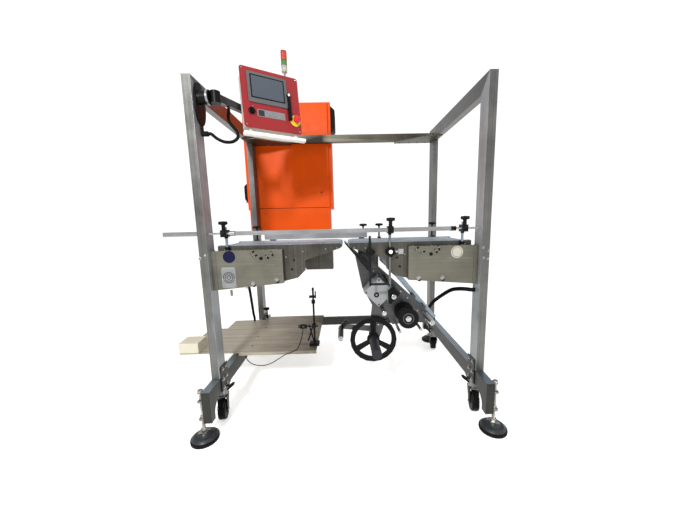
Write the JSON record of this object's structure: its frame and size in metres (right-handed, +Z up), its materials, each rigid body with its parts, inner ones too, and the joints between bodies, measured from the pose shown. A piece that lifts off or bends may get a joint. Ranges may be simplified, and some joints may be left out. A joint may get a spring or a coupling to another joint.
{
  "type": "carton sealer machine",
  "caption": "Free-standing stainless frame on casters and levelling feet, with two belt conveyors, a label head in the gap, an operator panel on an arm and an electrical cabinet.",
  "frame": {"origin": "on the floor under the middle of the whole machine's bounding box, the free cords left out", "axes": "+X along the conveyors' travel from infeed to outfeed, +Y from the operator side to the back, +Z up"},
  "size_m": [1.797, 1.3824, 2.3203],
  "materials": {
    "stainless": "satin brushed",
    "sheet_steel": "matt rolled sheet with light scratches",
    "dark_steel": "plated",
    "aluminium": "anodised satin",
    "chrome": "polished",
    "rubber": "matt",
    "belting": "satin",
    "black_plastic": "fine grained",
    "orange_paint": "powder coat",
    "red_face": "painted aluminium",
    "red_button": "gloss",
    "light_grey_box": "fine textured",
    "signal_lenses": "translucent stacked lenses",
    "cream_box": "matt",
    "foot_metal": "worn enamel over a rubber pad"
  },
  "bodies": {
    "frame": {"upright_front_left": "stainless", "upright_front_right": "stainless", "upright_back_left": "stainless", "upright_back_right": "stainless", "top_rail_left": "stainless", "top_rail_right": "stainless", "base_beam_left": "stainless", "base_beam_right": "stainless", "back_top_beam": "stainless", "back_bottom_beam": "stainless", "conveyor_frame_left": "sheet_steel", "conveyor_frame_right": "sheet_steel", "conveyor_cover_left": "sheet_steel", "conveyor_cover_right": "sheet_steel", "belt_left": "belting", "belt_right": "belting", "panel_mount": "black_plastic", "cabinet_body": "orange_paint", "stack_light": "signal_lenses", "shelf_plate": "sheet_steel", "junction_box": "cream_box", "panel_hose": "rubber", "conduit_left": "rubber", "conduit_right": "rubber", "sensor_cable": "rubber"},
    "caster_front_left": {"caster_fork_front_left": "dark_steel"},
    "wheel_front_left": {"caster_wheel_front_left": "rubber"},
    "foot_front_left": {"levelling_foot_front_left": "foot_metal"},
    "caster_front_right": {"caster_fork_front_right": "dark_steel"},
    "wheel_front_right": {"caster_wheel_front_right": "rubber"},
    "foot_front_right": {"levelling_foot_front_right": "foot_metal"},
    "caster_back_left": {"caster_fork_back_left": "dark_steel"},
    "wheel_back_left": {"caster_wheel_back_left": "rubber"},
    "foot_back_left": {"levelling_foot_back_left": "foot_metal"},
    "caster_back_right": {"caster_fork_back_right": "dark_steel"},
    "wheel_back_right": {"caster_wheel_back_right": "rubber"},
    "foot_back_right": {"levelling_foot_back_right": "foot_metal"},
    "drive_roller_left": {"drive_roller_left": "chrome"},
    "drive_roller_right": {"drive_roller_right": "chrome"},
    "front_guide": {"guide_rail_front": "aluminium"},
    "guide_knob_left": {"guide_knob_left": "black_plastic"},
    "guide_knob_centre": {"guide_knob_centre": "black_plastic"},
    "guide_knob_right": {"guide_knob_right": "black_plastic"},
    "rear_guide": {"guide_rail_rear": "aluminium"},
    "label_head": {"head_plate": "aluminium", "peel_plate": "dark_steel", "drive_unit": "black_plastic"},
    "feed_roller": {"feed_roller": "chrome"},
    "guide_roller": {"guide_roller": "chrome"},
    "supply_reel": {"supply_reel": "black_plastic"},
    "rewind_reel": {"rewind_reel": "black_plastic"},
    "dancer_arm": {"dancer_arm": "chrome"},
    "head_clamp_knob": {"head_clamp_knob": "black_plastic"},
    "panel_arm": {"panel_arm": "aluminium"},
    "panel_link": {"panel_link": "dark_steel"},
    "panel": {"panel_enclosure": "light_grey_box", "panel_plate": "red_face"},
    "mode_selector": {"mode_selector": "black_plastic"},
    "emergency_stop": {"emergency_stop": "red_button"},
    "cabinet_door": {"cabinet_door": "orange_paint"}
  },
  "joints": [
    {"name": "caster_swivel_front_left", "type": "hinge", "parent": "frame", "child": "caster_front_left", "pos_m": [-0.5855, -0.44215, 0.16], "axis": [0, 0, 1], "continuous": true},
    {"name": "wheel_spin_front_left", "type": "hinge", "parent": "caster_front_left", "child": "wheel_front_left", "pos_m": [-0.58064, -0.46973, 0.051], "axis": [0.9848, 0.1736, 0], "continuous": true},
    {"name": "foot_height_front_left", "type": "slide", "parent": "frame", "child": "foot_front_left", "axis": [0, 0, -1], "range_m": [0, 0.03]},
    {"name": "caster_swivel_front_right", "type": "hinge", "parent": "frame", "child": "caster_front_right", "pos_m": [0.8085, -0.44215, 0.16], "axis": [0, 0, 1], "continuous": true},
    {"name": "wheel_spin_front_right", "type": "hinge", "parent": "caster_front_right", "child": "wheel_front_right", "pos_m": [0.80364, -0.46973, 0.051], "axis": [0.9848, -0.1736, 0], "continuous": true},
    {"name": "foot_height_front_right", "type": "slide", "parent": "frame", "child": "foot_front_right", "axis": [0, 0, -1], "range_m": [0, 0.03]},
    {"name": "caster_swivel_back_left", "type": "hinge", "parent": "frame", "child": "caster_back_left", "pos_m": [-0.5855, 0.26785, 0.16], "axis": [0, 0, 1], "continuous": true},
    {"name": "wheel_spin_back_left", "type": "hinge", "parent": "caster_back_left", "child": "wheel_back_left", "pos_m": [-0.59036, 0.29542, 0.051], "axis": [-0.9848, -0.1736, 0], "continuous": true},
    {"name": "foot_height_back_left", "type": "slide", "parent": "frame", "child": "foot_back_left", "axis": [0, 0, -1], "range_m": [0, 0.03]},
    {"name": "caster_swivel_back_right", "type": "hinge", "parent": "frame", "child": "caster_back_right", "pos_m": [0.8085, 0.26785, 0.16], "axis": [0, 0, 1], "continuous": true},
    {"name": "wheel_spin_back_right", "type": "hinge", "parent": "caster_back_right", "child": "wheel_back_right", "pos_m": [0.81336, 0.29542, 0.051], "axis": [-0.9848, 0.1736, 0], "continuous": true},
    {"name": "foot_height_back_right", "type": "slide", "parent": "frame", "child": "foot_back_right", "axis": [0, 0, -1], "range_m": [0, 0.03]},
    {"name": "drive_roller_turn_left", "type": "hinge", "parent": "frame", "child": "drive_roller_left", "pos_m": [-0.4885, -0.33715, 0.926], "axis": [0, 1, 0], "continuous": true},
    {"name": "drive_roller_turn_right", "type": "hinge", "parent": "frame", "child": "drive_roller_right", "pos_m": [0.7115, -0.33715, 0.926], "axis": [0, 1, 0], "continuous": true},
    {"name": "front_guide_height", "type": "slide", "parent": "frame", "child": "front_guide", "axis": [0, 0, 1], "range_m": [-0.012, 0.01]},
    {"name": "guide_knob_turn_left", "type": "hinge", "parent": "front_guide", "child": "guide_knob_left", "pos_m": [-0.4745, -0.51515, 1.048], "axis": [0, 0, 1], "continuous": true},
    {"name": "guide_knob_turn_centre", "type": "hinge", "parent": "front_guide", "child": "guide_knob_centre", "pos_m": [0.3335, -0.51515, 1.048], "axis": [0, 0, 1], "continuous": true},
    {"name": "guide_knob_turn_right", "type": "hinge", "parent": "front_guide", "child": "guide_knob_right", "pos_m": [0.6975, -0.51515, 1.048], "axis": [0, 0, 1], "continuous": true},
    {"name": "rear_guide_depth", "type": "slide", "parent": "frame", "child": "rear_guide", "axis": [0, 1, 0], "range_m": [-0.1, 0]},
    {"name": "label_head_height", "type": "slide", "parent": "frame", "child": "label_head", "axis": [0, 0, -1], "range_m": [0, 0.03]},
    {"name": "feed_roller_turn", "type": "hinge", "parent": "label_head", "child": "feed_roller", "pos_m": [0.3645, -0.33715, 0.65], "axis": [0, 1, 0], "continuous": true},
    {"name": "guide_roller_turn", "type": "hinge", "parent": "label_head", "child": "guide_roller", "pos_m": [0.3155, -0.33715, 0.551], "axis": [0, 1, 0], "continuous": true},
    {"name": "supply_reel_turn", "type": "hinge", "parent": "label_head", "child": "supply_reel", "pos_m": [0.2645, -0.33715, 0.354], "axis": [0, 1, 0], "continuous": true},
    {"name": "rewind_reel_turn", "type": "hinge", "parent": "label_head", "child": "rewind_reel", "pos_m": [0.4475, -0.33715, 0.52], "axis": [0, 1, 0], "continuous": true},
    {"name": "dancer_swing", "type": "hinge", "parent": "label_head", "child": "dancer_arm", "pos_m": [0.1055, -0.29215, 0.47], "axis": [0, 1, 0], "range_deg": [0, 12]},
    {"name": "head_clamp_turn", "type": "hinge", "parent": "label_head", "child": "head_clamp_knob", "pos_m": [0.3335, -0.50715, 0.903], "axis": [0, 1, 0], "continuous": true},
    {"name": "panel_arm_swing", "type": "hinge", "parent": "frame", "child": "panel_arm", "pos_m": [-0.471, -0.48515, 1.635], "axis": [0, 0, 1], "range_deg": [-30, 8]},
    {"name": "panel_swivel", "type": "hinge", "parent": "panel_arm", "child": "panel_link", "pos_m": [-0.3945, -0.19115, 1.69], "axis": [0, 0, 1], "range_deg": [0, 45]},
    {"name": "panel_tilt", "type": "hinge", "parent": "panel_link", "child": "panel", "pos_m": [-0.34375, -0.27198, 1.67105], "axis": [0.8517, 0.524, 0], "range_deg": [-8, 6]},
    {"name": "selector_turn", "type": "hinge", "parent": "panel", "child": "mode_selector", "pos_m": [-0.34024, -0.37692, 1.61546], "axis": [-0.5203, 0.8457, -0.1184], "range_deg": [-45, 45]},
    {"name": "emergency_stop_push", "type": "slide", "parent": "panel", "child": "emergency_stop", "axis": [-0.5203, 0.8457, -0.1184], "range_m": [0, 0.006], "stiffness_N_per_m": 900, "springref_m": -0.002},
    {"name": "cabinet_door_swing", "type": "hinge", "parent": "frame", "child": "cabinet_door", "pos_m": [-0.6455, 0.66515, 1.55], "axis": [0, 0, 1], "range_deg": [0, 110]}
  ]
}
